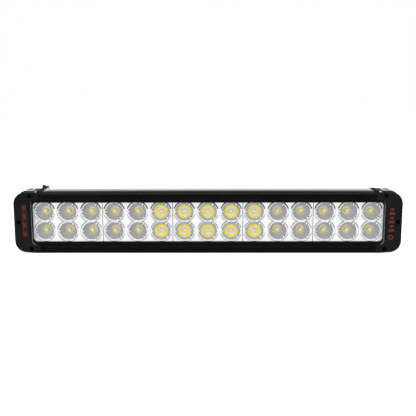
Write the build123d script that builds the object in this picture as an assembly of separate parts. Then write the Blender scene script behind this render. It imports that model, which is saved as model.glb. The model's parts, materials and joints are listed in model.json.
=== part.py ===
from build123d import *
from math import cos, radians, tan
import os

os.makedirs("parts", exist_ok=True)

# An LED light bar for a vehicle: an aluminium extrusion between two cast end caps, thirty
# LEDs behind one lens, and a swing bracket at each end.
# Frame: X along the bar, Y from the lit front (low) to the fins (high), Z up, origin under the middle.
# Sections are given as (depth, height), where depth is counted back from the front face.

# ---- driving dimensions, millimetres ----
OVERALL_DEPTH = 66.0
BAR_HEIGHT = 80.0
MID_HEIGHT = BAR_HEIGHT / 2
CAP_OUTER_X = 250.0
CAP_INNER_X = 217.2
GASKET_THICKNESS = 1.0
HOUSING_END_X = CAP_INNER_X - GASKET_THICKNESS
OVERRUN = 1.0  # how far a cutter runs past the face that it opens
SAME_PLACE = 0.01  # how near two places are to count as one when edges are picked

# extrusion section
TOP_DEPTH = 40.0
REAR_WALL_DEPTH = 58.0
SLOPE_DROP = REAR_WALL_DEPTH - TOP_DEPTH
FRONT_EDGE_HEIGHT = 78.6
FRONT_EDGE_RADIUS = 2.2
CROWN = (20.0, 79.64)
WINDOW_LOW = 11.0
LIP_DEPTH = 5.0
LENS_SLOT_LOW = 8.5
LENS_SLOT_DEPTH = 10.5
OPTIC_BAY_LOW = 10.0
WEB_FRONT = 30.0
WEB_BACK = 34.0
DRIVER_BAY_WALL = 3.6
DRIVER_BAY_CORNER_DEPTH = TOP_DEPTH - 1.6
CHAMBER_DEPTHS = (4.0, 26.0)
CHAMBER_HEIGHTS = (3.2, 6.5)
GROOVE_CENTRE = 8.7
GROOVE_WIDTH = 1.4
GROOVE_DEPTH = 1.6
FIN_PITCH = 6.2
FIN_THICKNESS = 2.2
FIN_TIP_SHARE = 0.7
FIN_COUNT = 7
FULL_FIN_REACH = 14.0
SCREW_CHANNELS = ((32.0, 72.5), (32.0, 7.5), (51.5, 50.0), (51.5, 30.0))
CHANNEL_WALL_RADIUS = 4.2
CHANNEL_HOLE_RADIUS = 2.0

# small fasteners
M3_THREAD_HOLE = 1.5
M3_CLEARANCE = 1.6
M3_SHANK = 1.45
M3_HEAD_RADIUS = 2.75
M3_HEAD_HEIGHT = 2.2
SOCKET_WIDTH_SHARE = 0.5
SOCKET_DEPTH_SHARE = 0.6
M4_SHANK = 1.95
M4_CLEARANCE = 2.2
M4_HEAD_RADIUS = 3.5
M4_HEAD_HEIGHT = 4.0
M4_LENGTH = 20.0
M4_SOCKET_RADIUS = 1.7
M4_SOCKET_DEPTH = 2.4

# optics
COLUMNS = 15
MODULES = 5
COLUMN_PITCH = 30.5
ROW_OFFSET = 12.7
MODULE_PITCH = COLUMN_PITCH * COLUMNS / MODULES
MODULE_WIDTH = MODULE_PITCH - 0.4
FIRST_SPOT_COLUMN = 5
LAST_SPOT_COLUMN = 9
HOLDER_FRONT = 12.5
HOLDER_BACK = 17.5
HOLDER_LOW = 13.0
HOLDER_CORNER_RADIUS = 1.5
DISH_RADIUS = 14.7
DISH_DEPTH = 3.2
TUBE_INNER_RADIUS = 11.2
TUBE_OUTER_RADIUS = 12.3
TUBE_LEDGE = 0.8
LENS_FRONT = 12.9
TUBE_FRONT = LENS_FRONT - 0.3
CLIP_ANGLES = (180, -45, 55)
CLIP_CENTRE_RADIUS = 11.3
CLIP_SIZE = (2.0, 1.9)
CLIP_CORNER_RADIUS = 0.5
CLIP_FRONT = LENS_FRONT - 0.9
CLIP_GAP = 0.02
LENS_RADIUS = 11.05
LENS_RIM = 1.5
LENS_BODY_RADIUS = 10.2
LENS_BACK = 25.6
LENS_POCKET_RADIUS = 3.2
FLOOD_THROAT = 5.6
FLOOD_POCKET_FRONT = 22.5
SPOT_THROAT = 4.8
SPOT_POCKET_FRONT = 20.5
SPOT_RECESS_RADIUS = 4.6
SPOT_RECESS_DEPTH = 3.0
SPOT_RECESS_TAPER = 8
BOARD_FRONT = 28.4
BOARD_MARGIN = 0.6
BOARD_HEIGHT = 56.0
BOARD_CORNER_RADIUS = 2.0
EMITTER_FRONT = 27.4
EMITTER_SIZE = 5.0
EMITTER_CORNER_RADIUS = 0.4
DOME_RADIUS = 1.9
BOARD_SCREW_END = WEB_BACK - 0.5
LINK_ROW_OFFSET = 26.0
LINK_HALF_LENGTH = 4.0
LINK_HALF_WIDTH = 0.4
LINK_FRONT = BOARD_FRONT - 1.6
LINK_THICKNESS = 0.7

# front lens and its seal
PANE_FRONT = 6.6
PANE_THICKNESS = 3.2
PANE_HALF_LENGTH = 230.9
PANE_LOW = 11.9
PANE_CORNER_RADIUS = 6.0
SEAL_FRONT = 5.1
SEAL_BACK = 10.2
SEAL_HALF_LENGTH = 231.8
SEAL_LOW = 9.0
SEAL_END_GAP = 0.4
SEAL_CORNER_RADIUS = 7.0
SEAL_OPENING_X = 227.0
SEAL_OPENING_LOW = 14.4
SEAL_OPENING_CORNER_RADIUS = 5.0

# driver
DRIVER_FRONT = 37.0
DRIVER_BACK = 38.6
DRIVER_HALF_LENGTH = 100.0
DRIVER_LOW = 20.0
DRIVER_SCREW_INSET = 6.0
DRIVER_SCREW_OFFSET = 15.0
DRIVER_SCREW_END = WEB_FRONT + 0.2
SPACER_RADIUS = 3.0
TALLEST_PART = 8.0
COIL_PLACES = (-45, 0, 45)
COIL_RADIUS = 7.0
COIL_EYE_RADIUS = 3.2
CAN_PLACES = [(x, z) for x in (-72, 72) for z in (34, 46)]
CAN_RADIUS = 4.0
CHIP_PLACES = [(x, z) for x in (-22.5, 22.5) for z in (30, 50)]
CHIP_HALF_SIZE = (4.0, 3.0)
CHIP_HEIGHT = 2.0
TERMINAL_FROM_X = -DRIVER_HALF_LENGTH + 2
TERMINAL_LENGTH = 9.0
TERMINAL_HALF_HEIGHT = 6.0

# end caps and bezels
BEZEL_DEPTH = 9.0
BEZEL_TOP = 79.6
BEZEL_RISE_FROM_X = 222.0
BEZEL_RISE = 2.0
BEZEL_RISE_BEND = 2.0
BEZEL_CORNER_RADIUS = 15.0
BEZEL_EDGE_RADIUS = 1.6
WINDOW_MOUTH = (230.2, 6.5)  # half length and corner radius at the front face
WINDOW_THROAT = (228.0, 5.0)  # the same behind the bevel
WINDOW_BEVEL_DEPTH = 1.5
BEZEL_SCREWS = ((228.2, 74.9), (243.9, 40.6), (228.2, 5.6))
BEZEL_COUNTERBORE = (3.0, 4.2)  # radius, depth
BEZEL_HEAD_FRONT = 0.9
BEZEL_HEAD_HEIGHT = 3.0
BEZEL_SCREW_GAP = 0.4
FLANGE_BACK = 13.0
FLANGE_INSET = 1.2
COLLAR_OUTER_X = 227.0
RIDGE_TOP = 81.0
RIDGE_BASE = 78.0
RIDGE_FRONT = 2.4
RIDGE_PROFILE = ((CAP_INNER_X, RIDGE_BASE), (CAP_INNER_X, RIDGE_TOP), (217.9, RIDGE_TOP), (218.2, BEZEL_TOP),
                 (219.0, BEZEL_TOP), (219.4, RIDGE_TOP), (222.0, RIDGE_TOP), (222.6, BEZEL_TOP),
                 (222.6, RIDGE_BASE))
SIDE_BODY_X = 244.2
SIDE_BODY_RADIUS = 36.0
SIDE_BODY_EDGE_RADIUS = 8.0
SIDE_BODY_HEIGHTS = (4.0, 76.0)
BAY_END_X = 232.4
POCKET_MARGIN = 0.5  # how much deeper the cap's pockets are than the extrusion's bays
CAP_FLOOR_THICKNESS = 0.8
CAP_SCREW_SEAT_X = COLLAR_OUTER_X - 2
CAP_COUNTERBORE_RADIUS = 3.7
GASKET_PROUD = 0.5
GASKET_INSET = 0.1
GASKET_SKIRT_LOW = 20.0
GASKET_SKIRT_FRONT = 2.5

# bracket and its pivot
PIVOT_DEPTH = 29.0
FOOT_HALF_DEPTH = 15.0
FOOT_INNER_X = 227.6
FOOT_THICKNESS = 3.0
FOOT_CORNER_RADIUS = 3.0
EAR_INNER_X = 244.5
EAR_THICKNESS = 3.0
EAR_OUTER_X = EAR_INNER_X + EAR_THICKNESS
EAR_RADIUS = 14.0
EAR_NECK_HALF = 13.9
EAR_SHOULDER_HEIGHT = 66.0
BEND_INNER_RADIUS = 7.0
SLOT_X = 235.8
SLOT_LENGTH = 9.5
SLOT_WIDTH = 8.5
BOLT_RADIUS = 3.98
BOLT_HOLE_RADIUS = 4.0
BOLT_REACH = 10.0
BRACKET_HOLE_RADIUS = 4.05
WASHER_HOLE_RADIUS = 4.2
FLAT_WASHER_FROM_X = EAR_OUTER_X + 0.2
FLAT_WASHER = (1.6, 8.0)  # thickness, radius
SPRING_WASHER_FROM_X = FLAT_WASHER_FROM_X + FLAT_WASHER[0]
SPRING_WASHER = (2.0, 6.8)
SPRING_WASHER_GAP = 1.2
BOLT_HEAD_FROM_X = SPRING_WASHER_FROM_X + SPRING_WASHER[0]
BOLT_HEAD_HEIGHT = 5.0
BOLT_HEAD_RADIUS = 6.6
BOLT_HEAD_EDGE_RADIUS = 1.2
BOLT_SOCKET_RADIUS = 3.45
BOLT_SOCKET_DEPTH = 3.5

# vent and cable gland, on the caps' upper rear slopes
GLAND_X = -221.7
GLAND_BASE = (55.5, 64.5)
GLAND_BODY = (8.0, 4.6)  # length and width where it passes through the cap
GLAND_NOSE_SIZE = (8.2, 5.0)
GLAND_FLANGE_SIZE = (9.2, 6.2)
GLAND_FLANGE = 1.4
GLAND_NOSE = 4.95
GLAND_INSIDE = 5.5
VENT_CAP_RADIUS = 4.0
VENT_STEM_RADIUS = 2.4
VENT_STEM_LENGTH = 3.0
VENT_HEIGHT = 2.2
VENT_SLOT = (9.0, 0.9)
VENT_SLOT_DEPTH = 0.8
SLOPE_HOLE_DEPTH = 12.0

# power lead and plug
WIRE_RADIUS = 1.5
WIRE_OFFSET = 1.9
WIRE_REST_Z = WIRE_RADIUS + 0.05
SLOPE_STEP = cos(radians(45))
GLAND_TIP = (GLAND_BASE[0] + GLAND_NOSE * SLOPE_STEP, GLAND_BASE[1] + GLAND_NOSE * SLOPE_STEP)
BLACK_X = GLAND_X - WIRE_OFFSET
RED_X = GLAND_X + WIRE_OFFSET
PLUG_ENTRY_X = -107.0
PLUG_LEAD_IN_X = PLUG_ENTRY_X - 16
PLUG_DEPTH = 98.5
PLUG_HEIGHT = 14.0
PLUG_MIDDLE = PLUG_HEIGHT / 2
PLUG_HALF_WIDTH = 8.5
PLUG_LENGTH = 24.0
PLUG_EDGE_RADIUS = 3.0
PIN_OFFSET = 2.7
PIN_RADIUS = 1.0
PIN_LENGTH = 8.0
SOCKET_DEPTH = 14.0
SOCKET_HALF = (6.0, 4.0)
WIRE_SEAL_LENGTH = 4.0
WIRE_SEAL_HALF = (6.2, 4.6)
WIRE_SEAL_EDGE_RADIUS = 2.0
LATCH_HALF_WIDTH = 3.0
LATCH_HEIGHT = 1.6
LATCH_LENGTH = 14.0
LATCH_LEAD = 2.0
BLACK_DEPTH = PLUG_DEPTH + PIN_OFFSET
RED_DEPTH = PLUG_DEPTH - PIN_OFFSET

# Routes as (X, depth, height): out of the gland, over a low hump, down behind the fins and
# along the floor to the plug.
BLACK_ROUTE = [(BLACK_X, *GLAND_TIP), (BLACK_X, 71.0, 80.0), (-227.4, 88.0, 79.4),
               (-229.8, 101.0, 66.0), (-229.0, 107.0, 47.0), (-222.5, 108.4, 28.0),
               (-209.0, 107.0, 10.0), (-188.0, 103.5, WIRE_REST_Z), (-162.0, 102.5, WIRE_REST_Z),
               (-141.0, 103.2, 2.4), (PLUG_LEAD_IN_X, BLACK_DEPTH, PLUG_MIDDLE),
               (PLUG_ENTRY_X, BLACK_DEPTH, PLUG_MIDDLE)]
RED_ROUTE = [(RED_X, *GLAND_TIP), (RED_X, 70.6, 79.6), (-222.6, 86.6, 78.4),
             (-224.4, 98.0, 65.2), (-223.2, 102.4, 47.0), (-217.4, 103.0, 29.0),
             (-205.0, 101.4, 11.0), (-185.0, 97.8, WIRE_REST_Z), (-160.0, 96.6, WIRE_REST_Z),
             (-140.0, 96.2, 2.4), (PLUG_LEAD_IN_X, RED_DEPTH, PLUG_MIDDLE),
             (PLUG_ENTRY_X, RED_DEPTH, PLUG_MIDDLE)]
INNER_BEND = (GLAND_BASE[0] - 11.0, GLAND_BASE[1] - 11.0)
INNER_RUN_DEPTH = 42.6
INNER_SPREAD = 2.6


# ---- helpers ----
def y_of(depth):
    """Y of a depth counted back from the front face."""
    return depth - OVERALL_DEPTH / 2


def yz(points):
    """(depth, height) pairs as (Y, Z) pairs."""
    return [(y_of(depth), height) for depth, height in points]


def block(x_range, depth_range, z_range):
    """A box between its limits along X, depth and Z."""
    size = [high - low for low, high in (x_range, depth_range, z_range)]
    middle = [(low + high) / 2 for low, high in (x_range, depth_range, z_range)]
    return Pos(middle[0], y_of(middle[1]), middle[2]) * Box(*size)


def around(middle, half):
    """The limits of a stretch, from its middle and its half length."""
    return (middle - half, middle + half)


def along_x(face, x_from, x_to):
    """A section drawn on the YZ plane, extruded from one X to another."""
    return Pos(x_from, 0, 0) * extrude(face, x_to - x_from)


def polygon(points):
    """A face on the YZ plane with these (depth, height) corners."""
    return Plane.YZ * make_face(Polyline(*yz(points), close=True))


def rectangle(depths, heights):
    """A rectangular section between its limits in depth and height."""
    (front, back), (low, high) = depths, heights
    return polygon([(front, low), (back, low), (back, high), (front, high)])


def rod_x(x_from, x_to, depth, height, radius):
    """A cylinder along X."""
    face = Plane.YZ * Pos(y_of(depth), height) * Circle(radius)
    return along_x(face, x_from, x_to)


def front_plane(depth):
    """A plane facing the viewer at a depth, with X to the right and Z up."""
    return Plane(origin=(0, y_of(depth), 0), x_dir=(1, 0, 0), z_dir=(0, -1, 0))


def along_depth(sketch, depth_from, depth_to):
    """A sketch in (X, Z), extruded back from one depth to another."""
    return extrude(front_plane(depth_to) * sketch, depth_to - depth_from)


def rod_depth(x, height, depth_from, depth_to, radius):
    """A cylinder along the depth."""
    return along_depth(Pos(x, height) * Circle(radius), depth_from, depth_to)


def window(half_length, low, radius):
    """A rounded rectangle centred on the bar's face."""
    return Pos(0, MID_HEIGHT) * RectangleRounded(2 * half_length, BAR_HEIGHT - 2 * low, radius)


def mirrored_heights(points):
    """The same (depth, height) points reflected about the bar's middle."""
    return [(depth, BAR_HEIGHT - height) for depth, height in points]


def write(name, part):
    """Writes one node, whose solids are the part's own."""
    solids = part.solids()
    shape = solids[0] if len(solids) == 1 else Compound(children=list(solids))
    shape.label = name
    export_step(shape, os.path.join("parts", name + ".step"))


def both_sides(name, part):
    """Writes a part made for the right end, and its mirror image for the left."""
    write(name + "_right", part)
    write(name + "_left", mirror(part, Plane.YZ))


def at_both_ends(parts):
    """Pieces made for the right end, and the same again for the left."""
    return Part() + parts + [mirror(part, Plane.YZ) for part in parts]


def hexagon_screw(x, height, head_depths, head_radius, shank_end):
    """An M3 screw along the depth, head towards the front, with a hexagon socket."""
    front, back = head_depths
    head = rod_depth(x, height, front, back, head_radius)
    socket = Pos(x, height) * RegularPolygon(head_radius * SOCKET_WIDTH_SHARE, 6)
    head -= along_depth(socket, front - OVERRUN, front + (back - front) * SOCKET_DEPTH_SHARE)
    return head + rod_depth(x, height, back, shank_end, M3_SHANK)


# ---- extrusion ----
def bar_outline():
    """The bar's outer section without fins: crowned top, flat base, sloping rear corners."""
    start = (y_of(0), FRONT_EDGE_HEIGHT)
    crown = ThreePointArc(start, yz([CROWN])[0], (y_of(TOP_DEPTH), BAR_HEIGHT))
    rest = Polyline(*yz([(TOP_DEPTH, BAR_HEIGHT), (REAR_WALL_DEPTH, BAR_HEIGHT - SLOPE_DROP),
                         (REAR_WALL_DEPTH, SLOPE_DROP), (TOP_DEPTH, 0), (0, 0),
                         (0, FRONT_EDGE_HEIGHT)]))
    face = make_face([crown, rest])
    front_corners = [v for v in face.vertices() if v.X < y_of(SAME_PLACE)]
    return Plane.YZ * fillet(front_corners, FRONT_EDGE_RADIUS)


def driver_bay():
    """Section of the rear bay that holds the driver."""
    top = BAR_HEIGHT - DRIVER_BAY_WALL
    rear = REAR_WALL_DEPTH - DRIVER_BAY_WALL
    corner = DRIVER_BAY_CORNER_DEPTH
    upper = [(WEB_BACK, top), (corner, top), (rear, top - (rear - corner))]
    return polygon(upper + mirrored_heights(upper)[::-1])


def fin(index):
    """One lengthwise cooling fin, shorter where the rear slopes begin."""
    height = MID_HEIGHT + (index - (FIN_COUNT - 1) / 2) * FIN_PITCH
    root = REAR_WALL_DEPTH - OVERRUN
    tip = OVERALL_DEPTH - max(0.0, abs(height - MID_HEIGHT) - FULL_FIN_REACH)
    half = FIN_THICKNESS / 2
    tip_half = half * FIN_TIP_SHARE
    return polygon([(root, height - half), (tip, height - tip_half),
                    (tip, height + tip_half), (root, height + half)])


def window_hollows():
    """The stepped opening at the front: the lip, the slot for the lens, and the optic bay."""
    steps = ((-OVERRUN, LIP_DEPTH, WINDOW_LOW), (LIP_DEPTH, LENS_SLOT_DEPTH, LENS_SLOT_LOW),
             (LENS_SLOT_DEPTH, WEB_FRONT, OPTIC_BAY_LOW))
    return [rectangle((front, back), (low, BAR_HEIGHT - low)) for front, back, low in steps]


def rail_hollows():
    """The closed chamber and the outer groove of each rail, below and above the window."""
    groove_heights = around(GROOVE_CENTRE, GROOVE_WIDTH / 2)
    sections = []
    for depths, (low, high) in ((CHAMBER_DEPTHS, CHAMBER_HEIGHTS),
                                ((-OVERRUN, GROOVE_DEPTH), groove_heights)):
        sections.append(rectangle(depths, (low, high)))
        sections.append(rectangle(depths, (BAR_HEIGHT - high, BAR_HEIGHT - low)))
    return sections


def make_housing():
    """The extrusion: two rails round a window, the LED web, the driver bay and the fins."""
    length = (-HOUSING_END_X, HOUSING_END_X)
    part = along_x(bar_outline(), *length)
    for section in window_hollows() + rail_hollows() + [driver_bay()]:
        part -= along_x(section, *length)
    for index in range(FIN_COUNT):
        part += along_x(fin(index), *length)
    for depth, height in SCREW_CHANNELS:
        part += rod_x(*length, depth, height, CHANNEL_WALL_RADIUS)
    for depth, height in SCREW_CHANNELS:
        part -= rod_x(*length, depth, height, CHANNEL_HOLE_RADIUS)
    for x, height in board_screw_places() + driver_screw_places():
        part -= rod_depth(x, height, WEB_FRONT - OVERRUN, WEB_BACK + OVERRUN, M3_THREAD_HOLE)
    return part


# ---- optics ----
def column_x(column):
    """X of a column of LEDs, counted from the left."""
    return (column - (COLUMNS - 1) / 2) * COLUMN_PITCH


def module_columns(module):
    """The three columns of a module."""
    per_module = COLUMNS // MODULES
    return range(module * per_module, (module + 1) * per_module)


def module_x(module):
    """X of a module's middle."""
    return (module - (MODULES - 1) / 2) * MODULE_PITCH


def cells(columns):
    """(X, height) of each LED in some columns, both rows."""
    return [(column_x(c), MID_HEIGHT + side * ROW_OFFSET) for c in columns for side in (1, -1)]


def board_screw_places():
    """(X, height) of the screws that hold the LED boards: two to a board."""
    return [(module_x(m) + side * COLUMN_PITCH / 2, MID_HEIGHT)
            for m in range(MODULES) for side in (1, -1)]


def holder_clips(x, height):
    """The three small clips that keep one lens in its tube."""
    clips = []
    shape = Pos(CLIP_CENTRE_RADIUS, 0) * RectangleRounded(*CLIP_SIZE, CLIP_CORNER_RADIUS)
    for angle in CLIP_ANGLES:
        outline = Pos(x, height) * Rot(0, 0, angle) * shape
        clips.append(along_depth(outline, CLIP_FRONT, LENS_FRONT - CLIP_GAP))
    return clips


def optic_holder(module):
    """A moulded plate with a dish, a tube and three clips for each lens."""
    size = (MODULE_WIDTH, BAR_HEIGHT - 2 * HOLDER_LOW)
    outline = Pos(module_x(module), MID_HEIGHT) * RectangleRounded(*size, HOLDER_CORNER_RADIUS)
    plate = along_depth(outline, HOLDER_FRONT, HOLDER_BACK)
    places = cells(module_columns(module))
    open_front = HOLDER_FRONT - OVERRUN
    for x, z in places:
        plate -= rod_depth(x, z, open_front, HOLDER_FRONT + DISH_DEPTH, DISH_RADIUS)
    for x, z in places:
        plate += rod_depth(x, z, TUBE_FRONT, BOARD_FRONT, TUBE_OUTER_RADIUS)
    for x, z in places:
        plate -= rod_depth(x, z, open_front, LENS_FRONT + LENS_RIM, TUBE_INNER_RADIUS)
        plate -= rod_depth(x, z, HOLDER_FRONT, BOARD_FRONT + OVERRUN, TUBE_INNER_RADIUS - TUBE_LEDGE)
    for x, z in places:
        plate += holder_clips(x, z)
    return plate


def lens_profile(throat, pocket_front):
    """Half section of a lens as (radius, depth) corners, rim first."""
    rim_back = LENS_FRONT + LENS_RIM
    return [(0, LENS_FRONT), (LENS_RADIUS, LENS_FRONT), (LENS_RADIUS, rim_back),
            (LENS_BODY_RADIUS, rim_back), (throat, LENS_BACK), (LENS_POCKET_RADIUS, LENS_BACK),
            (LENS_POCKET_RADIUS, pocket_front), (0, pocket_front)]


def turned(profile):
    """A solid turned about the Y axis from (radius, depth) corners."""
    points = [(radius, y_of(depth), 0) for radius, depth in profile]
    return revolve(make_face(Polyline(*points, close=True)), Axis.Y)


def flood_lens(x, height):
    """A wide-beam lens with a flat front."""
    return Pos(x, 0, height) * turned(lens_profile(FLOOD_THROAT, FLOOD_POCKET_FRONT))


def spot_lens(x, height):
    """A narrow-beam lens with a tapered recess in the middle of its front."""
    body = turned(lens_profile(SPOT_THROAT, SPOT_POCKET_FRONT))
    mouth = front_plane(LENS_FRONT) * Circle(SPOT_RECESS_RADIUS)
    body -= extrude(mouth, -SPOT_RECESS_DEPTH, taper=SPOT_RECESS_TAPER)
    return Pos(x, 0, height) * body


def emitter(x, height):
    """One LED package with its dome."""
    outline = Pos(x, height) * RectangleRounded(EMITTER_SIZE, EMITTER_SIZE, EMITTER_CORNER_RADIUS)
    base = along_depth(outline, EMITTER_FRONT, BOARD_FRONT)
    reach = DOME_RADIUS + OVERRUN
    dome = Pos(x, y_of(EMITTER_FRONT), height) * Sphere(DOME_RADIUS)
    dome &= block(around(x, reach), (EMITTER_FRONT - reach, EMITTER_FRONT), around(height, reach))
    return base + dome


def led_board(module):
    """An aluminium-cored circuit board with its two screw holes."""
    x = module_x(module)
    outline = Pos(x, MID_HEIGHT) * RectangleRounded(MODULE_WIDTH - BOARD_MARGIN, BOARD_HEIGHT,
                                                    BOARD_CORNER_RADIUS)
    board = along_depth(outline, BOARD_FRONT, WEB_FRONT)
    for side in (1, -1):
        board -= rod_depth(x + side * COLUMN_PITCH / 2, MID_HEIGHT, BOARD_FRONT - OVERRUN,
                           WEB_FRONT + OVERRUN, M3_CLEARANCE)
    return board


def board_link(module, side):
    """A wire link that carries the current from one LED board to the next."""
    x = module_x(module) + MODULE_PITCH / 2
    heights = around(MID_HEIGHT + side * LINK_ROW_OFFSET, LINK_HALF_WIDTH)
    link = block(around(x, LINK_HALF_LENGTH), (LINK_FRONT, LINK_FRONT + LINK_THICKNESS), heights)
    for end in (-1, 1):
        leg_x = x + end * (LINK_HALF_LENGTH - LINK_HALF_WIDTH)
        link += block(around(leg_x, LINK_HALF_WIDTH), (LINK_FRONT, BOARD_FRONT), heights)
    return link


def write_module(module):
    """Writes one module's holder, board, emitters and lenses."""
    number = str(module + 1)
    columns = module_columns(module)
    write("optic_holder_" + number, optic_holder(module))
    write("led_board_" + number, led_board(module))
    write("led_emitters_" + number, Part() + [emitter(x, z) for x, z in cells(columns)])
    spots = [c for c in columns if FIRST_SPOT_COLUMN <= c <= LAST_SPOT_COLUMN]
    floods = [c for c in columns if c not in spots]
    if floods:
        write("flood_lenses_" + number, Part() + [flood_lens(x, z) for x, z in cells(floods)])
    if spots:
        write("spot_lenses_" + number, Part() + [spot_lens(x, z) for x, z in cells(spots)])


def write_optics():
    """Writes the five modules, and the screws and links that they share."""
    for module in range(MODULES):
        write_module(module)
    head_depths = (BOARD_FRONT - M3_HEAD_HEIGHT, BOARD_FRONT)
    screws = [hexagon_screw(x, z, head_depths, M3_HEAD_RADIUS, BOARD_SCREW_END)
              for x, z in board_screw_places()]
    write("board_screws", Part() + screws)
    links = [board_link(m, side) for m in range(MODULES - 1) for side in (1, -1)]
    write("board_links", Part() + links)


def write_front():
    """Writes the lens pane and the seal that holds its edge."""
    pane = window(PANE_HALF_LENGTH, PANE_LOW, PANE_CORNER_RADIUS)
    write("front_lens", along_depth(pane, PANE_FRONT, PANE_FRONT + PANE_THICKNESS))
    opening = window(SEAL_OPENING_X, SEAL_OPENING_LOW, SEAL_OPENING_CORNER_RADIUS)
    seal = along_depth(window(SEAL_HALF_LENGTH, SEAL_LOW, SEAL_CORNER_RADIUS), SEAL_FRONT, SEAL_BACK)
    seal -= along_depth(opening, SEAL_FRONT - OVERRUN, SEAL_BACK + OVERRUN)
    seal -= along_depth(pane, PANE_FRONT, SEAL_BACK + OVERRUN)
    write("lens_seal", seal)


# ---- driver ----
def driver_screw_places():
    """(X, height) of the driver board's four screws."""
    reach = DRIVER_HALF_LENGTH - DRIVER_SCREW_INSET
    return [(sx * reach, MID_HEIGHT + sz * DRIVER_SCREW_OFFSET) for sx in (1, -1) for sz in (1, -1)]


def driver_spacer(x, height):
    """A round spacer between the web and the driver board."""
    spacer = rod_depth(x, height, WEB_BACK, DRIVER_FRONT, SPACER_RADIUS)
    return spacer - rod_depth(x, height, WEB_BACK - OVERRUN, DRIVER_FRONT + OVERRUN, M3_CLEARANCE)


def driver_screw(x, height):
    """A screw from behind, through the board and its spacer into the web."""
    shank = rod_depth(x, height, DRIVER_SCREW_END, DRIVER_BACK, M3_SHANK)
    return shank + rod_depth(x, height, DRIVER_BACK, DRIVER_BACK + M3_HEAD_HEIGHT, M3_HEAD_RADIUS)


def inductor(x):
    """A round coil with an eye, flat on the driver board."""
    top = DRIVER_BACK + TALLEST_PART
    coil = rod_depth(x, MID_HEIGHT, DRIVER_BACK, top, COIL_RADIUS)
    eye_from = DRIVER_BACK + TALLEST_PART / 2
    return coil - rod_depth(x, MID_HEIGHT, eye_from, top + OVERRUN, COIL_EYE_RADIUS)


def driver_chip(x, height):
    """One square switching chip."""
    half_length, half_height = CHIP_HALF_SIZE
    return block(around(x, half_length), (DRIVER_BACK, DRIVER_BACK + CHIP_HEIGHT),
                 around(height, half_height))


def write_driver():
    """Writes the driver board, its components, spacers and screws."""
    places = driver_screw_places()
    top = DRIVER_BACK + TALLEST_PART
    board = block(around(0, DRIVER_HALF_LENGTH), (DRIVER_FRONT, DRIVER_BACK),
                  (DRIVER_LOW, BAR_HEIGHT - DRIVER_LOW))
    for x, z in places:
        board -= rod_depth(x, z, DRIVER_FRONT - OVERRUN, DRIVER_BACK + OVERRUN, M3_CLEARANCE)
    terminal = block((TERMINAL_FROM_X, TERMINAL_FROM_X + TERMINAL_LENGTH), (DRIVER_BACK, top),
                     around(MID_HEIGHT, TERMINAL_HALF_HEIGHT))
    cans = [rod_depth(x, z, DRIVER_BACK, top, CAN_RADIUS) for x, z in CAN_PLACES]
    write("driver_board", board)
    write("driver_terminal", terminal)
    write("driver_spacers", Part() + [driver_spacer(x, z) for x, z in places])
    write("driver_screws", Part() + [driver_screw(x, z) for x, z in places])
    write("driver_inductors", Part() + [inductor(x) for x in COIL_PLACES])
    write("driver_capacitors", Part() + cans)
    write("driver_chips", Part() + [driver_chip(x, z) for x, z in CHIP_PLACES])


# ---- end caps, made for the right end ----
def bezel_outline(inset=0.0):
    """The flange's outline in (X, Z), with large outer corners and a slightly rising base."""
    outer = CAP_OUTER_X - inset
    high = BEZEL_TOP - inset
    path = FilletPolyline((CAP_INNER_X, inset), (BEZEL_RISE_FROM_X, inset), (outer, BEZEL_RISE + inset),
                          (outer, high), (CAP_INNER_X, high),
                          radius=[BEZEL_RISE_BEND, BEZEL_CORNER_RADIUS, BEZEL_CORNER_RADIUS], close=False)
    return make_face([path.edges(), Line((CAP_INNER_X, high), (CAP_INNER_X, inset))])


def ridge(depth_from, depth_to):
    """The raised collar next to the joint: a narrow and a wide rib with a drip groove between them."""
    return along_depth(make_face(Polyline(*RIDGE_PROFILE, close=True)), depth_from, depth_to)


def make_bezel():
    """The C-shaped front flange with the window's end and three counterbored holes."""
    part = along_depth(bezel_outline(), 0, BEZEL_DEPTH)
    front_edges = [e for e in part.edges() if e.bounding_box().max.Y < y_of(SAME_PLACE)]
    outer_edges = [e for e in front_edges if e.center().X > CAP_INNER_X + SAME_PLACE]
    part = fillet(outer_edges, BEZEL_EDGE_RADIUS)
    part += ridge(RIDGE_FRONT, BEZEL_DEPTH)
    mouth, throat = [window(length, WINDOW_LOW, radius) for length, radius in (WINDOW_MOUTH, WINDOW_THROAT)]
    lens_space = window(SEAL_HALF_LENGTH + SEAL_END_GAP, LENS_SLOT_LOW, SEAL_CORNER_RADIUS)
    part -= along_depth(throat, -OVERRUN, LIP_DEPTH + SAME_PLACE)
    part -= loft([front_plane(0) * mouth.face(), front_plane(WINDOW_BEVEL_DEPTH) * throat.face()])
    part -= along_depth(lens_space, LIP_DEPTH, BEZEL_DEPTH + OVERRUN)
    head_radius, head_depth = BEZEL_COUNTERBORE
    for x, z in BEZEL_SCREWS:
        part -= rod_depth(x, z, -OVERRUN, head_depth, head_radius)
        part -= rod_depth(x, z, 0, BEZEL_DEPTH + OVERRUN, M3_CLEARANCE)
    return part


def cap_side_body():
    """The half-round body outside the collar, its rim well rounded to clear the bracket's bend."""
    face = Plane.YZ * Pos(y_of(PIVOT_DEPTH), MID_HEIGHT) * Circle(SIDE_BODY_RADIUS)
    face += rectangle((BEZEL_DEPTH, PIVOT_DEPTH), SIDE_BODY_HEIGHTS)
    face -= rectangle((PIVOT_DEPTH - SIDE_BODY_RADIUS - OVERRUN, BEZEL_DEPTH), (0, BAR_HEIGHT))
    side = along_x(face, COLLAR_OUTER_X - OVERRUN, SIDE_BODY_X)
    rim = [e for e in side.edges() if abs(e.center().X - SIDE_BODY_X) < SAME_PLACE and
           e.center().Y > y_of(BEZEL_DEPTH + OVERRUN)]
    return fillet(rim, SIDE_BODY_EDGE_RADIUS)


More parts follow.
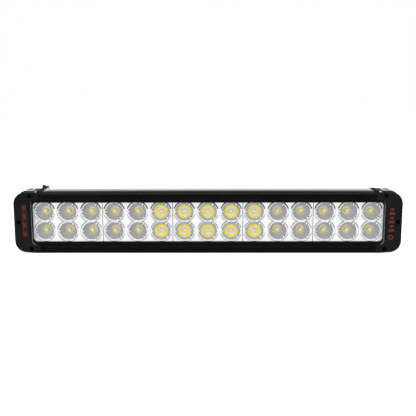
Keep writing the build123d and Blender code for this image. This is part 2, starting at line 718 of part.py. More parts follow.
def cap_pockets():
    """The hollows that carry the extrusion's bays on into the cap."""
    inner = CAP_INNER_X - OVERRUN
    front = BEZEL_DEPTH - OVERRUN
    optics = block((inner, BAY_END_X), (front, WEB_FRONT + POCKET_MARGIN),
                   (OPTIC_BAY_LOW, BAR_HEIGHT - OPTIC_BAY_LOW))
    lens_space = block((inner, BAY_END_X), (front, LENS_SLOT_DEPTH + POCKET_MARGIN),
                       (LENS_SLOT_LOW, BAR_HEIGHT - LENS_SLOT_LOW))
    return [optics, lens_space, along_x(driver_bay(), inner, COLLAR_OUTER_X - CAP_FLOOR_THICKNESS)]


def make_end_cap():
    """The cast cap: collar plate, flange backing, half-round side body, pockets and holes."""
    collar = along_x(bar_outline(), CAP_INNER_X, COLLAR_OUTER_X)
    collar -= block((CAP_INNER_X - OVERRUN, COLLAR_OUTER_X + OVERRUN), (-OVERRUN, BEZEL_DEPTH),
                    (-OVERRUN, BAR_HEIGHT + OVERRUN))
    part = collar + ridge(BEZEL_DEPTH, TOP_DEPTH - 1) + cap_side_body()
    part += along_depth(bezel_outline(FLANGE_INSET), BEZEL_DEPTH, FLANGE_BACK)
    for pocket in cap_pockets():
        part -= pocket
    outside = SIDE_BODY_X + OVERRUN
    for depth, height in SCREW_CHANNELS:
        part += rod_x(CAP_INNER_X, COLLAR_OUTER_X, depth, height, CHANNEL_WALL_RADIUS)
    for depth, height in SCREW_CHANNELS:
        part -= rod_x(CAP_SCREW_SEAT_X, outside, depth, height, CAP_COUNTERBORE_RADIUS)
        part -= rod_x(CAP_INNER_X - OVERRUN, COLLAR_OUTER_X, depth, height, M4_CLEARANCE)
    for x, z in BEZEL_SCREWS:
        part -= rod_depth(x, z, BEZEL_DEPTH - OVERRUN, FLANGE_BACK + OVERRUN, M3_THREAD_HOLE)
    bolt_end = SIDE_BODY_X - BOLT_REACH - OVERRUN
    return part - rod_x(bolt_end, outside, PIVOT_DEPTH, MID_HEIGHT, BOLT_HOLE_RADIUS)


def gasket_skirt():
    """The rim of the gasket that stands proud of the joint, but for the base and the front."""
    proud = offset(bar_outline(), GASKET_PROUD)
    skirt = along_x(proud, HOUSING_END_X + GASKET_INSET, CAP_INNER_X - GASKET_INSET)
    x_range = (HOUSING_END_X - OVERRUN, CAP_INNER_X + OVERRUN)
    depths = (-OVERRUN, OVERALL_DEPTH)
    skirt -= block(x_range, depths, (-OVERRUN, GASKET_SKIRT_LOW))
    return skirt - block(x_range, (-OVERRUN, GASKET_SKIRT_FRONT), (-OVERRUN, BAR_HEIGHT + OVERRUN))


def cap_seal():
    """The rubber gasket squeezed between the extrusion and the cap."""
    part = along_x(bar_outline(), HOUSING_END_X, CAP_INNER_X) + gasket_skirt()
    x_range = (HOUSING_END_X - OVERRUN, CAP_INNER_X + OVERRUN)
    for section in window_hollows() + [driver_bay()]:
        part -= along_x(section, *x_range)
    for depth, height in SCREW_CHANNELS:
        part += rod_x(HOUSING_END_X, CAP_INNER_X, depth, height, CHANNEL_WALL_RADIUS)
    for depth, height in SCREW_CHANNELS:
        part -= rod_x(*x_range, depth, height, M4_CLEARANCE)
    return part


def slope_frame(x):
    """A plane on the cap's upper rear slope at 45 degrees, its normal pointing up and back."""
    return Plane(origin=(x, y_of(GLAND_BASE[0]), GLAND_BASE[1]), x_dir=(1, 0, 0), z_dir=(0, 1, 1))


def make_vent():
    """A pressure-equalising plug on the right cap's slope, with a screwdriver slot."""
    base = slope_frame(-GLAND_X)
    plug = extrude(base * Circle(VENT_CAP_RADIUS), VENT_HEIGHT)
    plug += extrude(base * Circle(VENT_STEM_RADIUS), -VENT_STEM_LENGTH)
    slot = base.offset(VENT_HEIGHT - VENT_SLOT_DEPTH) * Rectangle(*VENT_SLOT)
    return plug - extrude(slot, OVERRUN)


def make_gland():
    """An oval rubber grommet with a hole for each wire."""
    base = slope_frame(GLAND_X)
    body = extrude(base * SlotOverall(*GLAND_FLANGE_SIZE), GLAND_FLANGE)
    body += extrude(base.offset(GLAND_FLANGE) * SlotOverall(*GLAND_NOSE_SIZE), GLAND_NOSE - GLAND_FLANGE)
    body += extrude(base * SlotOverall(*GLAND_BODY), -GLAND_INSIDE)
    for side in (-1, 1):
        hole = base.offset(-GLAND_INSIDE - OVERRUN) * Pos(side * WIRE_OFFSET, 0) * Circle(WIRE_RADIUS)
        body -= extrude(hole, GLAND_INSIDE + GLAND_NOSE + 2 * OVERRUN)
    return body


def cap_screw(depth, height):
    """A cap-head screw along X, from the cap's counterbore into the extrusion."""
    top = CAP_SCREW_SEAT_X + M4_HEAD_HEIGHT
    head = rod_x(CAP_SCREW_SEAT_X, top, depth, height, M4_HEAD_RADIUS)
    socket = Plane.YZ * Pos(y_of(depth), height) * RegularPolygon(M4_SOCKET_RADIUS, 6)
    head -= along_x(socket, top - M4_SOCKET_DEPTH, top + OVERRUN)
    return head + rod_x(CAP_SCREW_SEAT_X - M4_LENGTH, CAP_SCREW_SEAT_X, depth, height, M4_SHANK)


def write_caps():
    """Writes bezels, caps, seals, screws, the vent and the gland."""
    both_sides("bezel", make_bezel())
    both_sides("cap_seal", cap_seal())
    cap = make_end_cap()
    vent_hole = extrude(slope_frame(-GLAND_X) * Circle(VENT_STEM_RADIUS), -SLOPE_HOLE_DEPTH)
    write("end_cap_right", cap - vent_hole)
    gland_hole = extrude(slope_frame(GLAND_X) * SlotOverall(*GLAND_BODY), -SLOPE_HOLE_DEPTH)
    write("end_cap_left", mirror(cap, Plane.YZ) - gland_hole)
    head_depths = (BEZEL_HEAD_FRONT, BEZEL_HEAD_FRONT + BEZEL_HEAD_HEIGHT)
    bezel_screws = [hexagon_screw(x, z, head_depths, M3_HEAD_RADIUS, FLANGE_BACK - BEZEL_SCREW_GAP)
                    for x, z in BEZEL_SCREWS]
    write("bezel_screws", at_both_ends(bezel_screws))
    write("cap_screws", at_both_ends([cap_screw(depth, z) for depth, z in SCREW_CHANNELS]))
    write("breather_vent", make_vent())
    write("cable_gland", make_gland())


# ---- swing brackets, made for the right end ----
def ear_outline():
    """The upright leg below the bend: as wide as the foot at the top, round about the pivot below."""
    front, back = around(PIVOT_DEPTH, FOOT_HALF_DEPTH)
    neck_front, neck_back = around(PIVOT_DEPTH, EAR_NECK_HALF)
    neck_height = MID_HEIGHT + 1.5
    top = BAR_HEIGHT - FOOT_THICKNESS - BEND_INNER_RADIUS
    face = polygon([(front, top), (back, top), (back, EAR_SHOULDER_HEIGHT),
                    (neck_back, neck_height), (neck_front, neck_height), (front, EAR_SHOULDER_HEIGHT)])
    return face + Plane.YZ * Pos(y_of(PIVOT_DEPTH), MID_HEIGHT) * Circle(EAR_RADIUS)


def foot_and_bend():
    """The foot's plate and its quarter-round bend, seen along the bar's depth and extruded."""
    outer = BEND_INNER_RADIUS + FOOT_THICKNESS
    bend_x = EAR_OUTER_X - outer
    bend_height = BAR_HEIGHT - outer
    section = Pos(bend_x, bend_height) * (Circle(outer) - Circle(BEND_INNER_RADIUS))
    section &= Pos(bend_x + outer / 2, bend_height + outer / 2) * Rectangle(outer, outer)
    foot_length = bend_x - FOOT_INNER_X
    section += Pos(FOOT_INNER_X + foot_length / 2, BAR_HEIGHT - FOOT_THICKNESS / 2) * Rectangle(
        foot_length, FOOT_THICKNESS)
    return along_depth(section, *around(PIVOT_DEPTH, FOOT_HALF_DEPTH))


def make_bracket():
    """An L of steel plate: a slotted foot over the cap and an ear that turns on the pivot bolt."""
    part = along_x(ear_outline(), EAR_INNER_X, EAR_OUTER_X) + foot_and_bend()
    corners = [e for e in part.edges().filter_by(Axis.Z) if abs(e.center().X - FOOT_INNER_X) < SAME_PLACE]
    part = fillet(corners, FOOT_CORNER_RADIUS)
    slot_low = BAR_HEIGHT - FOOT_THICKNESS - OVERRUN
    slot = Pos(SLOT_X, y_of(PIVOT_DEPTH), slot_low) * SlotOverall(SLOT_LENGTH, SLOT_WIDTH)
    part -= extrude(slot, FOOT_THICKNESS + 2 * OVERRUN)
    return part - rod_x(EAR_INNER_X - OVERRUN, EAR_OUTER_X + OVERRUN, PIVOT_DEPTH, MID_HEIGHT,
                        BRACKET_HOLE_RADIUS)


def washer(x_from, thickness, radius):
    """A flat ring about the pivot."""
    ring = rod_x(x_from, x_from + thickness, PIVOT_DEPTH, MID_HEIGHT, radius)
    return ring - rod_x(x_from - OVERRUN, x_from + thickness + OVERRUN, PIVOT_DEPTH, MID_HEIGHT,
                        WASHER_HOLE_RADIUS)


def split_washer():
    """A spring washer: a ring with a narrow gap at its top."""
    ring = washer(SPRING_WASHER_FROM_X, *SPRING_WASHER)
    return ring - block((SPRING_WASHER_FROM_X - OVERRUN, BOLT_HEAD_FROM_X + OVERRUN),
                        around(PIVOT_DEPTH, SPRING_WASHER_GAP / 2),
                        (MID_HEIGHT, MID_HEIGHT + SPRING_WASHER[1] + OVERRUN))


def pivot_bolt():
    """A socket-head bolt whose plain shank is the bracket's pivot."""
    top = BOLT_HEAD_FROM_X + BOLT_HEAD_HEIGHT
    head = rod_x(BOLT_HEAD_FROM_X, top, PIVOT_DEPTH, MID_HEIGHT, BOLT_HEAD_RADIUS)
    rim = [e for e in head.edges() if e.center().X > top - SAME_PLACE]
    head = fillet(rim, BOLT_HEAD_EDGE_RADIUS)
    socket = Plane.YZ * Pos(y_of(PIVOT_DEPTH), MID_HEIGHT) * RegularPolygon(BOLT_SOCKET_RADIUS, 6)
    head -= along_x(socket, top - BOLT_SOCKET_DEPTH, top + OVERRUN)
    return head + rod_x(SIDE_BODY_X - BOLT_REACH, BOLT_HEAD_FROM_X, PIVOT_DEPTH, MID_HEIGHT, BOLT_RADIUS)


def write_brackets():
    """Writes the brackets and each pivot's bolt and washers."""
    both_sides("bracket", make_bracket())
    write("flat_washers", at_both_ends([washer(FLAT_WASHER_FROM_X, *FLAT_WASHER)]))
    write("spring_washers", at_both_ends([split_washer()]))
    write("pivot_bolts", at_both_ends([pivot_bolt()]))


# ---- power lead ----
def bend_radii(points):
    """The largest arc at each inner point that both its runs leave room for."""
    radii = []
    for before, at, after in zip(points, points[1:], points[2:]):
        turn = (at - before).get_angle(after - at)
        shorter = min((at - before).length, (after - at).length)
        radii.append(0.45 * shorter / tan(radians(turn / 2)))
    return radii


def wire(route, label):
    """A round wire along straight runs joined by tangent arcs; prints its bends and its length."""
    points = [Vector(x, y_of(depth), height) for x, depth, height in route]
    radii = bend_radii(points)
    path = FilletPolyline(*points, radius=radii)
    start = Plane(origin=path @ 0, z_dir=path % 0)
    tube = sweep(start * Circle(WIRE_RADIUS), path=path)
    section = Circle(WIRE_RADIUS).area
    print(label, "radii", [round(r, 1) for r in radii], "length", round(path.length, 1),
          "volume over section times length", round(tube.volume / (section * path.length), 4))
    return tube


def inner_lead(side):
    """The same conductor inside: through the gland, then along the driver bay to the terminal."""
    x = GLAND_X + side * WIRE_OFFSET
    height = MID_HEIGHT + side * INNER_SPREAD
    route = [(x, *GLAND_TIP), (x, *INNER_BEND), (x + 16, 44.0, height + 4), (x + 48, 44.4, height + 1),
             (TERMINAL_FROM_X - 24, INNER_RUN_DEPTH, height), (TERMINAL_FROM_X, INNER_RUN_DEPTH, height)]
    return wire(route, "inner lead")


def write_plug():
    """Writes the two-pin plug that lies on the floor: wire seal, shell, pins and latch."""
    shell_from = PLUG_ENTRY_X + WIRE_SEAL_LENGTH
    shell_to = shell_from + PLUG_LENGTH
    socket_from = shell_to - SOCKET_DEPTH
    half_width, half_height = WIRE_SEAL_HALF
    boot = block((PLUG_ENTRY_X, shell_from), around(PLUG_DEPTH, half_width), around(PLUG_MIDDLE, half_height))
    write("plug_wire_seal", fillet(boot.edges().filter_by(Axis.X), WIRE_SEAL_EDGE_RADIUS))
    shell = block((shell_from, shell_to), around(PLUG_DEPTH, PLUG_HALF_WIDTH), (0, PLUG_HEIGHT))
    shell = fillet(shell.edges().filter_by(Axis.X), PLUG_EDGE_RADIUS)
    socket_width, socket_height = SOCKET_HALF
    shell -= block((socket_from, shell_to + OVERRUN), around(PLUG_DEPTH, socket_width),
                   around(PLUG_MIDDLE, socket_height))
    write("plug_shell", shell)
    pins = [rod_x(socket_from, socket_from + PIN_LENGTH, depth, PLUG_MIDDLE, PIN_RADIUS)
            for depth in (RED_DEPTH, BLACK_DEPTH)]
    write("plug_pins", Part() + pins)
    latch_from = socket_from - LATCH_LEAD
    latch = block((latch_from, latch_from + LATCH_LENGTH), around(PLUG_DEPTH, LATCH_HALF_WIDTH),
                  (PLUG_HEIGHT, PLUG_HEIGHT + LATCH_HEIGHT))
    write("plug_latch", latch)


def write_lead():
    """Writes the two conductors, outside and inside, and their plug."""
    write("power_lead_black", wire(BLACK_ROUTE, "black lead"))
    write("power_lead_red", wire(RED_ROUTE, "red lead"))
    write("inner_lead_black", inner_lead(-1))
    write("inner_lead_red", inner_lead(1))
    write_plug()


write("housing", make_housing())
write_front()
write_optics()
write_driver()
write_caps()
write_brackets()
write_lead()
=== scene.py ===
import json
import math

import bmesh
import bpy
from mathutils import Matrix, Vector


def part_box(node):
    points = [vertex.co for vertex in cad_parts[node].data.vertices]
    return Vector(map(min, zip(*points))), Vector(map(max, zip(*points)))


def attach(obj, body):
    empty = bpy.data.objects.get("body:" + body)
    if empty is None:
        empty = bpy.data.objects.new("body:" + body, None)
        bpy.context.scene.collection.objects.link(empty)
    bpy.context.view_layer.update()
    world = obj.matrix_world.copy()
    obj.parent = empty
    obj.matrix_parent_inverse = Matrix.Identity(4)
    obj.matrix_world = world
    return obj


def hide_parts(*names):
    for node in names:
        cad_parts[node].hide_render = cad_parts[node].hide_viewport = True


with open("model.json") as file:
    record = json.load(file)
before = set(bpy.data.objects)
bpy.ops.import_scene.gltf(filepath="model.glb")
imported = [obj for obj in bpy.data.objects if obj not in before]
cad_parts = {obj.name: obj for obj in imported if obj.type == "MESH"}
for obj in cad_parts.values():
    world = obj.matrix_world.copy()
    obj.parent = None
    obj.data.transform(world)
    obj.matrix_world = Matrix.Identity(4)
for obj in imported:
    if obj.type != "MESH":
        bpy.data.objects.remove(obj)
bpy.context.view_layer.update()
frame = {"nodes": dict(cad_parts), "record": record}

# The looks of an LED light bar. Metres throughout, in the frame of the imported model:
# X along the bar, Y from the lit front (low) to the fins (high), Z up.

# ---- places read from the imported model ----
FRONT_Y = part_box("bezel_right")[0].y
SPOT_LOW, SPOT_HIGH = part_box("spot_lenses_3")
MID_Z = (SPOT_LOW.z + SPOT_HIGH.z) / 2
LENS_FRONT_Y = SPOT_LOW.y
LENS_RADIUS = 0.01105
HOLDER_STEP = 0.0004
MARK_PROUD = 0.00004
ROW_OFFSET = (SPOT_HIGH.z - SPOT_LOW.z) / 2 - LENS_RADIUS
COLUMN_PITCH = (SPOT_HIGH.x - SPOT_LOW.x - 2 * LENS_RADIUS) / 2
COLUMNS_PER_MODULE = 3
MIDDLE_COLUMN = 7
COLUMN_COUNT = 2 * MIDDLE_COLUMN + 1
SPOT_COLUMNS = range(5, 10)

# ---- camera ----
CAMERA_TARGET = Vector((0.0004, FRONT_Y, 0.05947))
CAMERA_DISTANCE = 0.800
CAMERA_ELEVATION = math.radians(9.212)
CAMERA_YAW = math.radians(-0.4)
CAMERA_ROLL = math.radians(-0.11)
CAMERA_LENS = 54.0
CAMERA_SENSOR = 36.0


def make_camera():
    """The camera: straight in front of the bar and a little above it."""
    level = math.cos(CAMERA_ELEVATION)
    forward = Vector((math.sin(CAMERA_YAW) * level, math.cos(CAMERA_YAW) * level,
                      -math.sin(CAMERA_ELEVATION)))
    flat_right = forward.cross(Vector((0, 0, 1))).normalized()
    flat_up = flat_right.cross(forward)
    right = math.cos(CAMERA_ROLL) * flat_right + math.sin(CAMERA_ROLL) * flat_up
    up = right.cross(forward)
    data = bpy.data.cameras.new("camera")
    data.lens = CAMERA_LENS
    data.sensor_width = CAMERA_SENSOR
    data.clip_start = 0.01
    data.clip_end = 100.0
    camera = bpy.data.objects.new("camera", data)
    bpy.context.scene.collection.objects.link(camera)
    turn = Matrix((right, up, -forward)).transposed().to_4x4()
    camera.matrix_world = Matrix.Translation(CAMERA_TARGET - CAMERA_DISTANCE * forward) @ turn
    bpy.context.scene.camera = camera


# ---- power lead ----
WIRE_DIAMETER = 0.003
BLACK_ROUTE = [(-0.2236, 0.0260, 0.0680), (-0.2250, 0.0400, 0.0792), (-0.2330, 0.0450, 0.0790),
               (-0.2326, 0.0680, 0.0656), (-0.2290, 0.0740, 0.0470), (-0.2225, 0.0754, 0.0280),
               (-0.2090, 0.0740, 0.0100), (-0.1880, 0.0705, 0.00155), (-0.1620, 0.0695, 0.00155),
               (-0.1410, 0.0702, 0.0024), (-0.1230, 0.0682, 0.0070), (-0.1070, 0.0682, 0.0070)]
RED_ROUTE = [(-0.2198, 0.0260, 0.0680), (-0.2206, 0.0390, 0.0786), (-0.2266, 0.0450, 0.0784),
             (-0.2264, 0.0650, 0.0650), (-0.2232, 0.0694, 0.0470), (-0.2174, 0.0700, 0.0290),
             (-0.2050, 0.0684, 0.0110), (-0.1850, 0.0648, 0.00155), (-0.1600, 0.0636, 0.00155),
             (-0.1400, 0.0632, 0.0024), (-0.1230, 0.0628, 0.0070), (-0.1070, 0.0628, 0.0070)]


def make_wire(name, route, node):
    """One insulated conductor: a smooth curve along its route, in place of its CAD tube. The points carry
    the wire's radius, so that the curve's box is no larger than the wire."""
    curve = bpy.data.curves.new(name, "CURVE")
    curve.dimensions = "3D"
    curve.resolution_u = 16
    curve.bevel_depth = 1.0
    curve.bevel_resolution = 6
    curve.use_fill_caps = True
    spline = curve.splines.new("NURBS")
    spline.points.add(len(route) - 1)
    for point, place in zip(spline.points, route):
        point.co = (*place, 1.0)
        point.radius = WIRE_DIAMETER / 2
    spline.order_u = 3
    spline.use_endpoint_u = True
    wire = bpy.data.objects.new(name, curve)
    bpy.context.scene.collection.objects.link(wire)
    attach(wire, "light")
    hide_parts(node)
    return wire


def make_lead():
    """The lead's two conductors."""
    black = make_wire("lead_black", BLACK_ROUTE, "power_lead_black")
    red = make_wire("lead_red", RED_ROUTE, "power_lead_red")
    return black, red


make_camera()
lead_black, lead_red = make_lead()


# ---- material helpers ----
MIX_SHARE, MIX_FIRST, MIX_SECOND, MIX_COLOUR = 0, 6, 7, 2


def add(tree, kind, inputs=None, **settings):
    """A node with these settings; an input is a plain value or another node's output."""
    node = tree.nodes.new("ShaderNode" + kind)
    for key, value in settings.items():
        setattr(node, key, value)
    for key, value in (inputs or {}).items():
        if isinstance(value, bpy.types.NodeSocket):
            tree.links.new(value, node.inputs[key])
        else:
            node.inputs[key].default_value = value
    return node


def shader_of(material):
    """A material's Principled node."""
    return material.node_tree.nodes["Principled BSDF"]


def new_material(name, roughness=0.5, **constants):
    """An empty material whose unvarying values sit on the shader's own sockets."""
    material = bpy.data.materials.new(name)
    material.use_nodes = True
    shader = shader_of(material)
    shader.inputs["Roughness"].default_value = roughness
    for key, value in constants.items():
        shader.inputs[key.replace("_", " ").title().replace("Ior", "IOR")].default_value = value
    return material


def feed(material, socket, source):
    """Joins a node's output to one of the shader's inputs."""
    material.node_tree.links.new(source, shader_of(material).inputs[socket])


def object_place(tree, stretch=(1, 1, 1)):
    """The place on the object, stretched along each axis."""
    place = add(tree, "TexCoord").outputs["Object"]
    return add(tree, "Mapping", {"Vector": place, "Scale": stretch}).outputs["Vector"]


def noise(tree, size, detail=3.0, stretch=(1, 1, 1)):
    """Noise with blotches about size metres across, from 0 to 1."""
    inputs = {"Vector": object_place(tree, stretch), "Scale": 1 / size, "Detail": detail}
    return add(tree, "TexNoise", inputs).outputs["Fac"]


def ranged(tree, value, low, high, source=(0.3, 0.7)):
    """A value taken from one range to another, clamped."""
    inputs = {"Value": value, "From Min": source[0], "From Max": source[1], "To Min": low, "To Max": high}
    return add(tree, "MapRange", inputs).outputs["Result"]


def blend(tree, share, first, second):
    """A colour between two others."""
    first, second = (c if isinstance(c, bpy.types.NodeSocket) else (*c, 1.0) for c in (first, second))
    inputs = {MIX_SHARE: share, MIX_FIRST: first, MIX_SECOND: second}
    return add(tree, "Mix", inputs, data_type="RGBA").outputs[MIX_COLOUR]


def multiply(tree, first, second):
    """The product of two values."""
    return add(tree, "Math", {0: first, 1: second}, operation="MULTIPLY").outputs[0]


def colour_ramp(tree, share, stops):
    """A colour that changes along a 0 to 1 value."""
    ramp = add(tree, "ValToRGB", {"Fac": share})
    elements = ramp.color_ramp.elements
    while len(elements) < len(stops):
        elements.new(0.5)
    for element, (position, colour) in zip(elements, stops):
        element.position = position
        element.color = (*colour, 1.0)
    return ramp.outputs["Color"]


def rounded_edges(tree, radius):
    """The surface direction with sharp edges eased, and how near an edge each point is."""
    eased = add(tree, "Bevel", {"Radius": radius}, samples=4).outputs["Normal"]
    true = add(tree, "NewGeometry").outputs["Normal"]
    dot = add(tree, "VectorMath", {0: eased, 1: true}, operation="DOT_PRODUCT").outputs["Value"]
    return eased, ranged(tree, dot, 1.0, 0.0, source=(0.75, 0.995))


def bumped(tree, height, strength, distance, normal=None):
    """The surface direction with a height worked into it."""
    inputs = {"Height": height, "Strength": strength, "Distance": distance}
    if normal is not None:
        inputs["Normal"] = normal
    return add(tree, "Bump", inputs).outputs["Normal"]


def coated_metal(name, colour, worn, roughness, grain, depth, edge, stretch=(1, 1, 1), **constants):
    """Paint or anodising on metal: uneven gloss, a fine grain, and edges rubbed lighter."""
    material = new_material(name, **constants)
    tree = material.node_tree
    eased, near_edge = rounded_edges(tree, edge)
    patches = noise(tree, 0.035, detail=5.0)
    rubbed = multiply(tree, near_edge, ranged(tree, noise(tree, 0.006, detail=6.0), 0.0, 1.0))
    lighter = [min(1.0, 1.5 * c) for c in colour]
    paint = blend(tree, ranged(tree, patches, 0.0, 1.0), colour, lighter)
    feed(material, "Base Color", blend(tree, rubbed, paint, worn))
    feed(material, "Roughness", ranged(tree, patches, roughness * 0.88, roughness * 1.12))
    surface = noise(tree, grain, detail=2.0, stretch=stretch)
    feed(material, "Normal", bumped(tree, surface, 0.35, depth, eased))
    return material


def moulded(name, colour, roughness, grain=0.0006, depth=0.00002, variation=0.12, **constants):
    """Moulded plastic or rubber with a faint texture and uneven tone."""
    material = new_material(name, **constants)
    tree = material.node_tree
    darker = [c * (1 - variation) for c in colour]
    patches = noise(tree, 0.012, detail=4.0)
    feed(material, "Base Color", blend(tree, ranged(tree, patches, 0.0, 1.0), colour, darker))
    feed(material, "Roughness", ranged(tree, patches, roughness * 0.85, roughness * 1.15))
    feed(material, "Normal", bumped(tree, noise(tree, grain, detail=2.0), 0.4, depth))
    return material


def bare_metal(name, colour, roughness, stretch=(1, 1, 1)):
    """Turned or plated metal with fine machining marks."""
    material = new_material(name, metallic=1.0)
    tree = material.node_tree
    eased, near_edge = rounded_edges(tree, 0.0002)
    marks = noise(tree, 0.0006, detail=3.0, stretch=stretch)
    tarnish = noise(tree, 0.008, detail=4.0)
    darker = [c * 0.78 for c in colour]
    body = blend(tree, ranged(tree, tarnish, 0.0, 1.0), colour, darker)
    feed(material, "Base Color", blend(tree, multiply(tree, near_edge, 0.6), body, (0.9, 0.9, 0.9)))
    feed(material, "Roughness", ranged(tree, marks, roughness * 0.75, roughness * 1.3))
    feed(material, "Normal", bumped(tree, marks, 0.3, 0.00002, eased))
    return material


# ---- materials of the carried-over CAD nodes ----
def make_materials():
    """Every finish by the name of its slot in the record."""
    return {
        "extrusion_black": coated_metal(
            "extrusion_black", (0.0036, 0.0036, 0.0038), (0.03, 0.03, 0.03), roughness=0.06,
            grain=0.0016, depth=0.000003, edge=0.0004, stretch=(0.02, 1, 1), specular_ior_level=0.5),
        "cast_black": coated_metal(
            "cast_black", (0.0092, 0.0090, 0.0088), (0.05, 0.047, 0.044), roughness=0.5,
            grain=0.0007, depth=0.00004, edge=0.0005, specular_ior_level=0.05),
        "bracket_black": coated_metal(
            "bracket_black", (0.010, 0.010, 0.010), (0.08, 0.08, 0.08), roughness=0.22,
            grain=0.0009, depth=0.00001, edge=0.0005, specular_ior_level=0.5),
        "black_screw": coated_metal(
            "black_screw", (0.0012, 0.0012, 0.0012), (0.008, 0.008, 0.008), roughness=0.5,
            grain=0.0005, depth=0.00001, edge=0.0002, specular_ior_level=0.1),
        "stainless": bare_metal("stainless", (0.58, 0.57, 0.55), 0.28),
        "zinc_screw": bare_metal("zinc_screw", (0.55, 0.56, 0.58), 0.32),
        "black_rubber": moulded("black_rubber", (0.006, 0.006, 0.006), 0.6, specular_ior_level=0.25),
        "tinned_copper": bare_metal("tinned_copper", (0.72, 0.66, 0.55), 0.3),
        "green_board": moulded("green_board", (0.02, 0.16, 0.07), 0.35, grain=0.0012),
        "aluminium_can": bare_metal("aluminium_can", (0.68, 0.69, 0.71), 0.3),
        "component_black": moulded("component_black", (0.02, 0.02, 0.02), 0.5),
        "grey_plastic": moulded("grey_plastic", (0.03, 0.03, 0.033), 0.5),
        "wire_black": moulded("wire_black", (0.008, 0.008, 0.008), 0.38, grain=0.0012, depth=0.00004),
        "wire_red": moulded("wire_red", (0.66, 0.27, 0.25), 0.36, grain=0.0012, depth=0.00004),
        "plug_black": moulded("plug_black", (0.013, 0.013, 0.014), 0.5, grain=0.0004),
        "plug_grey": moulded("plug_grey", (0.28, 0.29, 0.30), 0.48, grain=0.0004),
        "white_holder": moulded("white_holder", (0.93, 0.93, 0.94), 0.22, grain=0.004, variation=0.02,
                                specular_ior_level=0.5),
        "led_board": moulded("led_board", (0.8, 0.8, 0.78), 0.4),
        "phosphor": moulded("phosphor", (0.9, 0.78, 0.06), 0.3),
        "clear_pane": clear_pane(),
    }


def clear_pane():
    """Clear polycarbonate that hardly shows, with a faint haze of wipe marks in its gloss."""
    material = new_material("clear_pane", alpha=0.06, specular_ior_level=0.5)
    tree = material.node_tree
    haze = noise(tree, 0.02, detail=6.0, stretch=(0.3, 1, 1))
    share = ranged(tree, haze, 0.0, 1.0)
    feed(material, "Base Color", blend(tree, share, (0.95, 0.97, 0.98), (0.88, 0.9, 0.92)))
    feed(material, "Roughness", ranged(tree, haze, 0.02, 0.08))
    return material


def dress_nodes(materials):
    """Gives each shown CAD node the finish that the record names for it."""
    for part in frame["record"]["subparts"]:
        node = frame["nodes"][part["node"]]
        finish = materials.get(part["material_slot"])
        if finish is None:
            continue
        node.data.materials.clear()
        node.data.materials.append(finish)


# ---- lenses ----
def lathe(bm, centre, profile, material_index, steps=56):
    """Turns (radius, depth behind the lens's front) points about a lens's axis, facing the front."""
    x, z = centre
    rings = []
    for radius, depth in profile:
        y = LENS_FRONT_Y + depth
        if radius == 0:
            rings.append([bm.verts.new((x, y, z))] * steps)
            continue
        angles = [2 * math.pi * i / steps for i in range(steps)]
        rings.append([bm.verts.new((x + radius * math.cos(a), y, z + radius * math.sin(a)))
                      for a in angles])
    for inner, outer in zip(rings, rings[1:]):
        for i in range(steps):
            corners = [inner[i], outer[i], outer[(i + 1) % steps], inner[(i + 1) % steps]]
            unique = list(dict.fromkeys(corners))
            if len(unique) > 2:
                face = bm.faces.new(unique)
                face.material_index = material_index
                face.smooth = True


def dome(radius, edge_depth, top_depth, points=8):
    """A shallow dome's (radius, depth) points, from its middle out."""
    rise = edge_depth - top_depth
    shares = [i / points for i in range(points + 1)]
    return [(radius * s, edge_depth - rise * math.sqrt(max(0.0, 1 - s * s))) for s in shares]


# Profiles are (radius, depth behind the lens's front) points. The INSIDE numbers are places in the list of
# finishes in make_lenses.
INSIDE_GREY, INSIDE_LED_IMAGE, INSIDE_DOT, INSIDE_FUNNEL, INSIDE_BOWL = range(5)
FLOOD_BOTTOM = 0.0126
FLOOD_DOT_RADIUS = 0.0025
FLOOD_DOT_EDGE = 0.0072
FLOOD_DOT_TOP = 0.0058
FLOOD_RIM = [(LENS_RADIUS, 0.0007), (0.01095, 0.0009), (0.01050, 0.0015)]
FLOOD_WALL = [(0.01050, 0.0015), (0.00995, 0.0030), (0.00890, 0.0056), (0.00740, 0.0094),
              (0.00620, FLOOD_BOTTOM)]
FLOOD_GLOW = [(0.0, FLOOD_BOTTOM), (0.0034, FLOOD_BOTTOM), (0.0062, FLOOD_BOTTOM)]
FLOOD_STALK = [(FLOOD_DOT_RADIUS, FLOOD_DOT_EDGE), (FLOOD_DOT_RADIUS, FLOOD_BOTTOM)]
FLOOD_FRONT = [(0.0, 0.00005), (0.0040, 0.0001), (0.0075, 0.00025), (0.0098, 0.00045),
               (LENS_RADIUS, 0.0006)]


def flood_lens(bm, centre):
    """A grey funnel with the LED's yellow painted over its bottom, a painted refraction of the LED as the
    lens spreads it, and a bright dot on a stalk nearer the front."""
    lathe(bm, centre, FLOOD_RIM, INSIDE_GREY)
    lathe(bm, centre, FLOOD_WALL, INSIDE_GREY)
    lathe(bm, centre, FLOOD_GLOW, INSIDE_LED_IMAGE)
    lathe(bm, centre, dome(FLOOD_DOT_RADIUS, FLOOD_DOT_EDGE, FLOOD_DOT_TOP), INSIDE_DOT)
    lathe(bm, centre, FLOOD_STALK, INSIDE_LED_IMAGE)


SPOT_DOT_RADIUS = 0.0014
SPOT_DOT_EDGE = 0.0032
SPOT_DOT_TOP = 0.0026
SPOT_RIM = [(0.0089, 0.0011), (0.0096, 0.0004), (0.0106, 0.0002), (LENS_RADIUS, 0.0006)]
SPOT_FUNNEL = [(0.0047, 0.0052), (0.0060, 0.0042), (0.0076, 0.0026), (0.0089, 0.0011)]
SPOT_TUBE = [(0.0047, 0.0052), (0.0047, 0.0006), (0.0043, 0.0003), (0.0040, 0.0006)]
SPOT_BOWL = [(SPOT_DOT_RADIUS, SPOT_DOT_EDGE), (0.0022, 0.0030), (0.0030, 0.0024), (0.0040, 0.0006)]


